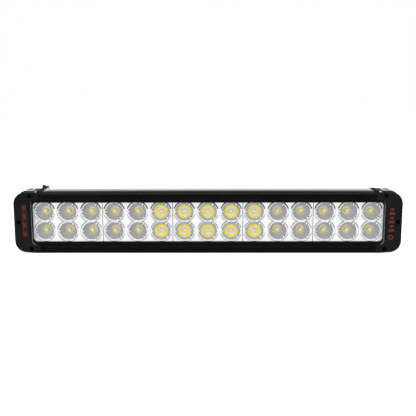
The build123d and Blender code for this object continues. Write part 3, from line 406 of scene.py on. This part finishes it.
def spot_lens(bm, centre):
    """A grey rim round a funnel painted with the LED's yellow reflection, with a small bowl and the LED's
    dot in the middle.
    """
    lathe(bm, centre, SPOT_RIM, INSIDE_GREY)
    lathe(bm, centre, SPOT_FUNNEL, INSIDE_FUNNEL)
    lathe(bm, centre, SPOT_TUBE, INSIDE_BOWL)
    lathe(bm, centre, SPOT_BOWL, INSIDE_BOWL)
    lathe(bm, centre, dome(SPOT_DOT_RADIUS, SPOT_DOT_EDGE, SPOT_DOT_TOP), INSIDE_DOT)


def cell_radius(tree):
    """How far a point is from its own lens's axis, in metres."""
    place = add(tree, "TexCoord").outputs["Object"]
    parts = add(tree, "SeparateXYZ", {0: place})
    distances = []
    for output, pitch, origin in (("X", COLUMN_PITCH, -COLUMN_PITCH * 0.5), ("Z", 2 * ROW_OFFSET, MID_Z)):
        shifted = add(tree, "Math", {0: parts.outputs[output], 1: origin}, operation="SUBTRACT")
        wrapped = add(tree, "Math", {0: shifted.outputs[0], 1: pitch}, operation="FLOORED_MODULO")
        centred = add(tree, "Math", {0: wrapped.outputs[0], 1: pitch / 2}, operation="SUBTRACT")
        distances.append(centred.outputs[0])
    flat = add(tree, "CombineXYZ", {"X": distances[0], "Y": distances[1]})
    return add(tree, "VectorMath", {0: flat.outputs[0]}, operation="LENGTH").outputs["Value"]


def radial(tree, stops, ragged=0.0, size=0.002):
    """A colour that changes with the distance from the lens's axis, its rings a little ragged."""
    distance = cell_radius(tree)
    if ragged:
        waver = ranged(tree, noise(tree, size, detail=3.0), -ragged, ragged, source=(0.25, 0.75))
        distance = add(tree, "Math", {0: distance, 1: waver}, operation="ADD").outputs[0]
    share = ranged(tree, distance, 0.0, 1.0, source=(0.0, LENS_RADIUS))
    places = [(min(1.0, radius / LENS_RADIUS), colour) for radius, colour in stops]
    return colour_ramp(tree, share, places)


def frosted_front():
    """A flood lens's pebbled front, mostly see-through."""
    material = new_material("frosted_front", roughness=0.3, alpha=0.28, specular_ior_level=0.3)
    tree = material.node_tree
    feed(material, "Base Color", radial(tree, [(0.0, (0.42, 0.42, 0.42)), (0.008, (0.38, 0.38, 0.40)),
                                               (0.0102, (0.30, 0.30, 0.32)), (0.011, (0.5, 0.5, 0.5))]))
    pebbles = add(tree, "TexVoronoi", {"Vector": object_place(tree), "Scale": 1 / 0.0011},
                  feature="SMOOTH_F1").outputs["Distance"]
    feed(material, "Normal", bumped(tree, pebbles, 0.25, 0.0001))
    return material


def funnel_grey():
    """The inside of a lens's funnel: grey with faint turned rings."""
    material = new_material("funnel_grey", roughness=0.35, specular_ior_level=0.3)
    tree = material.node_tree
    rings = radial(tree, [(0.0, (0.46, 0.43, 0.22)), (0.0066, (0.42, 0.41, 0.33)),
                          (0.0082, (0.39, 0.39, 0.41)), (0.0112, (0.35, 0.35, 0.38))], ragged=0.0003)
    feed(material, "Base Color", rings)
    feed(material, "Normal", bumped(tree, noise(tree, 0.0006), 0.2, 0.00003))
    return material


def painted_led_image():
    """Painted refraction: the LED's yellow as a flood lens spreads it over the bottom of its funnel."""
    material = new_material("painted_led_image", roughness=0.5, specular_ior_level=0.1)
    feed(material, "Base Color", radial(material.node_tree,
                                        [(0.0, (0.60, 0.53, 0.10)), (0.0036, (0.56, 0.50, 0.15)),
                                         (0.0062, (0.38, 0.36, 0.24))], ragged=0.0005))
    return material


def yellow_dot():
    """The LED itself, seen small and bright."""
    material = new_material("yellow_dot", roughness=0.3, specular_ior_level=0.2)
    feed(material, "Base Color", radial(material.node_tree,
                                        [(0.0, (0.95, 0.82, 0.01)), (0.0018, (0.90, 0.78, 0.02)),
                                         (0.0026, (0.72, 0.64, 0.12)), (0.004, (0.5, 0.5, 0.4))],
                                        ragged=0.0002))
    return material


def painted_led_reflection():
    """Painted reflection: the LED's yellow as the walls of a spot lens's funnel mirror it, all over the
    funnel, with a ragged edge and darker specks.
    """
    material = new_material("painted_led_reflection", roughness=0.35, specular_ior_level=0.15)
    tree = material.node_tree
    rings = radial(tree, [(0.0, (0.66, 0.54, 0.01)), (0.0048, (0.78, 0.64, 0.004)),
                          (0.006, (0.86, 0.72, 0.004)), (0.0084, (0.82, 0.68, 0.006)),
                          (0.0089, (0.30, 0.28, 0.18))], ragged=0.0006)
    specks = ranged(tree, noise(tree, 0.0018, detail=4.0), 0.0, 0.7, source=(0.60, 0.70))
    feed(material, "Base Color", blend(tree, specks, rings, (0.12, 0.11, 0.08)))
    feed(material, "Normal", bumped(tree, noise(tree, 0.0012), 0.3, 0.00008))
    return material


def clear_bowl():
    """The polished recess in the middle of a spot lens."""
    material = new_material("clear_bowl", roughness=0.2, specular_ior_level=0.5)
    feed(material, "Base Color", radial(material.node_tree,
                                        [(0.0, (0.6, 0.55, 0.3)), (0.0022, (0.42, 0.42, 0.4)),
                                         (0.0034, (0.66, 0.66, 0.64)), (0.0047, (0.74, 0.74, 0.73))],
                                        ragged=0.0002))
    return material


def cell_centre(column, side):
    """(X, Z) of a cell: columns count from the left, side is 1 for the upper row and -1 for the lower."""
    return ((column - MIDDLE_COLUMN) * COLUMN_PITCH, MID_Z + side * ROW_OFFSET)


def piece_from(name, bm, finishes):
    """A piece on the light with the mesh built so far and its finishes."""
    mesh_data = bpy.data.meshes.new(name)
    bm.to_mesh(mesh_data)
    bm.free()
    for finish in finishes:
        mesh_data.materials.append(finish)
    piece = bpy.data.objects.new(name, mesh_data)
    bpy.context.scene.collection.objects.link(piece)
    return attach(piece, "light")


def make_lenses():
    """For each CAD node of lenses, one piece with the insides of its lenses, and for flood lenses another
    with their fronts."""
    insides = [funnel_grey(), painted_led_image(), yellow_dot(), painted_led_reflection(), clear_bowl()]
    front_finish = frosted_front()
    for node_name in sorted(frame["nodes"]):
        kind, _, module = node_name.rpartition("_")
        if kind not in ("flood_lenses", "spot_lenses"):
            continue
        flood = kind == "flood_lenses"
        first = (int(module) - 1) * COLUMNS_PER_MODULE
        columns = [column for column in range(first, first + COLUMNS_PER_MODULE)
                   if (column in SPOT_COLUMNS) != flood]
        centres = [cell_centre(column, side) for column in columns for side in (1, -1)]
        bm = bmesh.new()
        for centre in centres:
            (flood_lens if flood else spot_lens)(bm, centre)
        piece = piece_from("optics_" + node_name, bm, insides)
        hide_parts(node_name)
        if flood:
            fronts = bmesh.new()
            for centre in centres:
                lathe(fronts, centre, FLOOD_FRONT, 0)
            glass = piece_from("fronts_" + node_name, fronts, [front_finish])
            glass.visible_shadow = False


# ---- painted shade round each lens ----
CLIP_ANGLES = (180, -45, 55)
CLIP_SLOT_RADIUS = 0.01135
CLIP_SLOT_OFFSET = 0.00165
CLIP_SLOT_SIZE = (0.0020, 0.0016)
CLIP_SLOT_STEPS = 10
RIM_PROUD = 0.00032
# Grey rings painted over each tube's rim: painted shade of the gap between lens and tube.
FLOOD_RIM_RING = (0.01100, 0.01150)
SPOT_RIM_RING = (0.01100, 0.01195)
# Painted shade in the groove round each tube: dark, grey and light grey arcs, darker on the upper arcs as
# if lit from above.
GROOVE_RING = (0.01290, 0.01450)
GROOVE_FINE_RING = (0.01335, 0.01415)
GROOVE_ARCS = ((16, 70), (110, 164))
GROOVE_PROUD = 0.0002
MODULE_GAP_WIDTH = 0.0008
MODULE_GAP_HEIGHTS = (0.0142, 0.0658)
ARC_STEP = 6
# Places in the list of finishes in make_cell_shading.
SLOT_SHADE, RIM_SHADE, GROOVE_SHADOW, GROOVE_SHADE, GROOVE_FAINT_SHADE = range(5)


def arc_band(bm, centre, y, radii, degrees, material_index):
    """A flat band round a cell, from one angle to the other."""
    start, end = degrees
    steps = max(1, round((end - start) / ARC_STEP))
    pairs = []
    for step in range(steps + 1):
        angle = math.radians(start + (end - start) * step / steps)
        pairs.append([bm.verts.new((centre[0] + r * math.cos(angle), y, centre[1] + r * math.sin(angle)))
                      for r in radii])
    for (inner, outer), (next_inner, next_outer) in zip(pairs, pairs[1:]):
        bm.faces.new([inner, outer, next_outer, next_inner]).material_index = material_index


def flat_patch(bm, x_range, z_range, y, material_index, corner=0.0006):
    """A flat rectangle with rounded corners."""
    (x0, x1), (z0, z1) = x_range, z_range
    verts = []
    for cx, cz, turn in ((x1, z1, 0), (x0, z1, 1), (x0, z0, 2), (x1, z0, 3)):
        inner_x = cx - corner if cx == x1 else cx + corner
        inner_z = cz - corner if cz == z1 else cz + corner
        for step in range(4):
            angle = math.pi / 2 * (turn + step / 3)
            verts.append(bm.verts.new((inner_x + corner * math.cos(angle), y,
                                       inner_z + corner * math.sin(angle))))
    bm.faces.new(verts).material_index = material_index


def clip_slots(bm, centre):
    """Painted shade: small dark patches where the slots on both sides of each of a cell's clips lie in
    shadow.
    """
    half_radial, half_across = (size / 2 for size in CLIP_SLOT_SIZE)
    for degrees in CLIP_ANGLES:
        angle = math.radians(degrees)
        out = Vector((math.cos(angle), 0, math.sin(angle)))
        across = Vector((-math.sin(angle), 0, math.cos(angle)))
        for way in (1, -1):
            middle = Vector((centre[0], LENS_FRONT_Y - RIM_PROUD - MARK_PROUD, centre[1]))
            middle += CLIP_SLOT_RADIUS * out + way * CLIP_SLOT_OFFSET * across
            corners = []
            for step in range(CLIP_SLOT_STEPS):
                turn = 2 * math.pi * step / CLIP_SLOT_STEPS
                corners.append(bm.verts.new(middle + half_radial * math.cos(turn) * out
                                            + half_across * math.sin(turn) * across))
            bm.faces.new(corners).material_index = SLOT_SHADE


def make_cell_shading():
    """Painted shade round each lens, all on flat bands: grey rims for the gap round the lenses, dark
    patches in the slots beside their clips, and the shade in the grooves round the tubes and between the
    holders."""
    bm = bmesh.new()
    rim_y = LENS_FRONT_Y - RIM_PROUD
    groove_y = LENS_FRONT_Y - HOLDER_STEP - GROOVE_PROUD
    for column in range(COLUMN_COUNT):
        rim_ring = SPOT_RIM_RING if column in SPOT_COLUMNS else FLOOD_RIM_RING
        for side, upper_ring, upper_shade in ((1, GROOVE_RING, GROOVE_SHADOW),
                                              (-1, GROOVE_FINE_RING, GROOVE_SHADE)):
            centre = cell_centre(column, side)
            arc_band(bm, centre, rim_y, rim_ring, (0, 360), RIM_SHADE)
            clip_slots(bm, centre)
            # Upper arcs: painted shadow, dark in the upper row and grey in the lower; lower arcs: light
            # grey painted shade.
            for start, end in GROOVE_ARCS:
                arc_band(bm, centre, groove_y, upper_ring, (start, end), upper_shade)
                arc_band(bm, centre, groove_y, GROOVE_FINE_RING, (start + 180, end + 180), GROOVE_FAINT_SHADE)
    # Grey strips painted between the holders: painted shade in the gaps between them.
    for boundary in range(COLUMNS_PER_MODULE, COLUMN_COUNT, COLUMNS_PER_MODULE):
        x = (boundary - MIDDLE_COLUMN - 0.5) * COLUMN_PITCH
        x_range = (x - MODULE_GAP_WIDTH / 2, x + MODULE_GAP_WIDTH / 2)
        flat_patch(bm, x_range, MODULE_GAP_HEIGHTS, groove_y, GROOVE_SHADE)
    bmesh.ops.recalc_face_normals(bm, faces=bm.faces)
    finishes = [moulded("slot_painted_shade", (0.016, 0.016, 0.016), 0.6),
                moulded("rim_painted_shade", (0.25, 0.25, 0.26), 0.4),
                moulded("groove_painted_shadow", (0.02, 0.02, 0.02), 0.6),
                moulded("groove_painted_shade", (0.14, 0.14, 0.15), 0.6),
                moulded("groove_painted_faint_shade", (0.36, 0.36, 0.37), 0.6)]
    piece_from("cell_painted_shade", bm, finishes)


# ---- printed marks ----
LEFT_STRIP = ((-0.2390, -0.2333), (0.0222, 0.0636))
LEFT_DASHES = 7
DASH_INSET = 0.0013
DASH_HALF_HEIGHT = 0.0016
RIGHT_BARS = ((0.2328, 0.2402), (0.0275, 0.0600))
RIGHT_BAR_COUNT = 6
BAR_INSET = 0.0012
BAR_HALF_HEIGHT = 0.0017
RIGHT_RING = ((0.2357, 0.0211), 0.0016, 0.0032)


def printed_ink(name, colour):
    """Screen-printed ink, thin and slightly patchy."""
    material = new_material(name, specular_ior_level=0.2)
    tree = material.node_tree
    thin = ranged(tree, noise(tree, 0.0012, detail=5.0), 0.0, 0.5, source=(0.4, 0.7))
    feed(material, "Base Color", blend(tree, thin, colour, [c * 0.35 for c in colour]))
    feed(material, "Roughness", ranged(tree, noise(tree, 0.004), 0.5, 0.7))
    return material


def ring_patch(bm, centre, inner, outer, y, material_index, steps=40):
    """A printed ring."""
    loops = []
    for radius in (inner, outer):
        angles = [2 * math.pi * i / steps for i in range(steps)]
        loops.append([bm.verts.new((centre[0] + radius * math.cos(a), y,
                                    centre[1] + radius * math.sin(a))) for a in angles])
    for i in range(steps):
        after = (i + 1) % steps
        corners = [loops[0][i], loops[1][i], loops[1][after], loops[0][after]]
        bm.faces.new(corners).material_index = material_index


def make_marks():
    """Plain printed marks on the end flanges: a dashed strip on the left, and bars and a ring on the
    right."""
    y = FRONT_Y - MARK_PROUD
    left = bmesh.new()
    flat_patch(left, *LEFT_STRIP, y, 0)
    (x0, x1), (z0, z1) = LEFT_STRIP
    pitch = (z1 - z0) / LEFT_DASHES
    for i in range(LEFT_DASHES):
        middle = z0 + (i + 0.5) * pitch
        flat_patch(left, (x0 + DASH_INSET, x1 - DASH_INSET),
                   (middle - DASH_HALF_HEIGHT, middle + DASH_HALF_HEIGHT), y - MARK_PROUD, 1 + i % 2)
    right = bmesh.new()
    (x0, x1), (z0, z1) = RIGHT_BARS
    pitch = (z1 - z0) / RIGHT_BAR_COUNT
    for i in range(RIGHT_BAR_COUNT):
        middle = z0 + (i + 0.5) * pitch
        inset = BAR_INSET if i % 2 else 0.0
        flat_patch(right, (x0 + inset, x1 - inset),
                   (middle - BAR_HALF_HEIGHT, middle + BAR_HALF_HEIGHT), y, 0)
    ring_patch(right, *RIGHT_RING, y, 0)
    dull = printed_ink("ink_dull", (0.070, 0.024, 0.020))
    bright = printed_ink("ink_orange", (0.13, 0.034, 0.022))
    dark = printed_ink("ink_dark", (0.03, 0.009, 0.007))
    piece_from("mark_left", left, [dull, bright, dark])
    piece_from("mark_right", right, [bright])


# ---- painted reflections: pale edges of the window's ends and the wide ribs ----
RIB_X = (0.2194, 0.2220)
RIB_FRONT = (FRONT_Y + 0.0011, 0.0796)
RIB_TOP = (FRONT_Y + 0.0024, 0.0810)
WINDOW_WALL_X = 0.22796
WINDOW_WALL_Y = (FRONT_Y + 0.0015, FRONT_Y + 0.0050)
WINDOW_HALF_HEIGHT = 0.029
WINDOW_CORNER = 0.0050
CORNER_STEPS = 6


def window_end_outline():
    """(X, Z) points down the right end of the window, round both corners."""
    points = []
    for start, sign in ((90, 1), (0, -1)):
        centre = (WINDOW_WALL_X - WINDOW_CORNER, MID_Z + sign * (WINDOW_HALF_HEIGHT - WINDOW_CORNER))
        for step in range(CORNER_STEPS + 1):
            angle = math.radians(start - 90 * step / CORNER_STEPS)
            points.append((centre[0] + WINDOW_CORNER * math.cos(angle),
                           centre[1] + WINDOW_CORNER * math.sin(angle)))
    return points


def make_bright_edges():
    """Painted reflections: pale strips on the window's end walls, where they mirror the white holder, and
    on the fronts of the wide ribs, where their chamfers catch the light.
    """
    painted_reflection = moulded("painted_reflection_edge", (0.45, 0.45, 0.47), 0.5)
    for name, side in (("left", -1), ("right", 1)):
        bm = bmesh.new()
        walls = [[bm.verts.new((side * x, y, z)) for y in WINDOW_WALL_Y] for x, z in window_end_outline()]
        for first, second in zip(walls, walls[1:]):
            bm.faces.new([first[0], first[1], second[1], second[0]])
        low, high = [[bm.verts.new((side * x, y, z)) for x in RIB_X] for y, z in (RIB_FRONT, RIB_TOP)]
        bm.faces.new([low[0], low[1], high[1], high[0]])
        bmesh.ops.recalc_face_normals(bm, faces=bm.faces)
        piece = piece_from("bright_edges_" + name, bm, [painted_reflection])


# ---- studio ----
FLOOR_SIZE = 30.0
FLOOR_GLOW = 0.8


def make_floor():
    """A wide plain white floor. The bar neither mirrors it nor is lit by it, so its blacks stay deep."""
    mesh_data = bpy.data.meshes.new("floor")
    bm = bmesh.new()
    half = FLOOR_SIZE / 2
    corners = ((-half, -half), (half, -half), (half, half), (-half, half))
    bm.faces.new([bm.verts.new((x, y, 0.0)) for x, y in corners])
    bm.to_mesh(mesh_data)
    bm.free()
    floor = bpy.data.objects.new("floor", mesh_data)
    bpy.context.scene.collection.objects.link(floor)
    material = new_material("floor_white", roughness=0.9, specular_ior_level=0.0)
    shader = shader_of(material)
    shader.inputs["Emission Color"].default_value = (1.0, 1.0, 1.0, 1.0)
    shader.inputs["Emission Strength"].default_value = FLOOR_GLOW
    tree = material.node_tree
    feed(material, "Base Color", blend(tree, noise(tree, 0.5), (0.86, 0.86, 0.86), (0.9, 0.9, 0.9)))
    mesh_data.materials.append(material)
    floor.visible_glossy = False
    floor.visible_diffuse = False


TENT_STRENGTH = 2.1
REAR_STOPS = ((0.49, 0.04), (0.50, 0.9), (0.565, 1.0), (0.5825, 0.72), (0.5935, 0.54), (0.60, 0.32),
              (0.606, 0.11), (0.612, 0.01), (0.64, 0.006), (0.75, 0.06), (1.0, 0.2))
FRONT_STOPS = ((0.49, 0.01), (0.51, 0.06), (0.75, 0.12), (1.0, 0.2))


def make_world():
    """A light tent: a bright band low behind the bar, dim in front and above; white where it is seen."""
    world = bpy.data.worlds.new("tent")
    bpy.context.scene.world = world
    world.use_nodes = True
    tree = world.node_tree
    direction = add(tree, "SeparateXYZ", {0: add(tree, "TexCoord").outputs["Generated"]})
    height = ranged(tree, direction.outputs["Z"], 0.0, 1.0, source=(-1.0, 1.0))
    behind = ranged(tree, direction.outputs["Y"], 0.0, 1.0, source=(-0.15, 0.25))
    front, rear = (colour_ramp(tree, height, [(position, (grey,) * 3) for position, grey in stops])
                   for stops in (FRONT_STOPS, REAR_STOPS))
    background = tree.nodes["Background"]
    background.inputs["Strength"].default_value = TENT_STRENGTH
    tree.links.new(blend(tree, behind, front, rear), background.inputs["Color"])
    white = add(tree, "Background", {"Color": (1.0, 1.0, 1.0, 1.0), "Strength": 1.0})
    seen = add(tree, "LightPath").outputs["Is Camera Ray"]
    both = add(tree, "MixShader", {0: seen, 1: background.outputs[0], 2: white.outputs[0]})
    tree.links.new(both.outputs[0], tree.nodes["World Output"].inputs["Surface"])


def make_lamp(name, place, target, size, power):
    """A soft rectangular lamp aimed at a point. Nothing mirrors it: only the tent shows in the gloss."""
    data = bpy.data.lights.new(name, "AREA")
    data.shape = "RECTANGLE"
    data.size, data.size_y = size
    data.energy = power
    lamp = bpy.data.objects.new(name, data)
    bpy.context.scene.collection.objects.link(lamp)
    lamp.location = place
    lamp.rotation_euler = (Vector(target) - Vector(place)).to_track_quat("-Z", "Y").to_euler()
    lamp.visible_glossy = False


def make_studio():
    """Floor, tent and three wide soft lamps: overhead, in front and behind."""
    make_floor()
    make_world()
    make_lamp("lamp_above", (0.0, 0.3, 1.8), (0.0, 0.0, 0.0), (2.4, 1.2), 14.0)
    make_lamp("lamp_front", (-0.1, -2.2, 0.34), (0.0, 0.0, 0.04), (2.4, 0.5), 60.0)
    make_lamp("lamp_back", (0.3, 2.2, 0.9), (0.0, 0.0, 0.04), (2.4, 0.5), 40.0)
    view = bpy.context.scene.view_settings
    view.view_transform = "Standard"
    view.look = "None"
    view.exposure = 0.0


materials = make_materials()
dress_nodes(materials)
lead_black.data.materials.append(materials["wire_black"])
lead_red.data.materials.append(materials["wire_red"])
make_lenses()
make_cell_shading()
make_marks()
make_bright_edges()
make_studio()
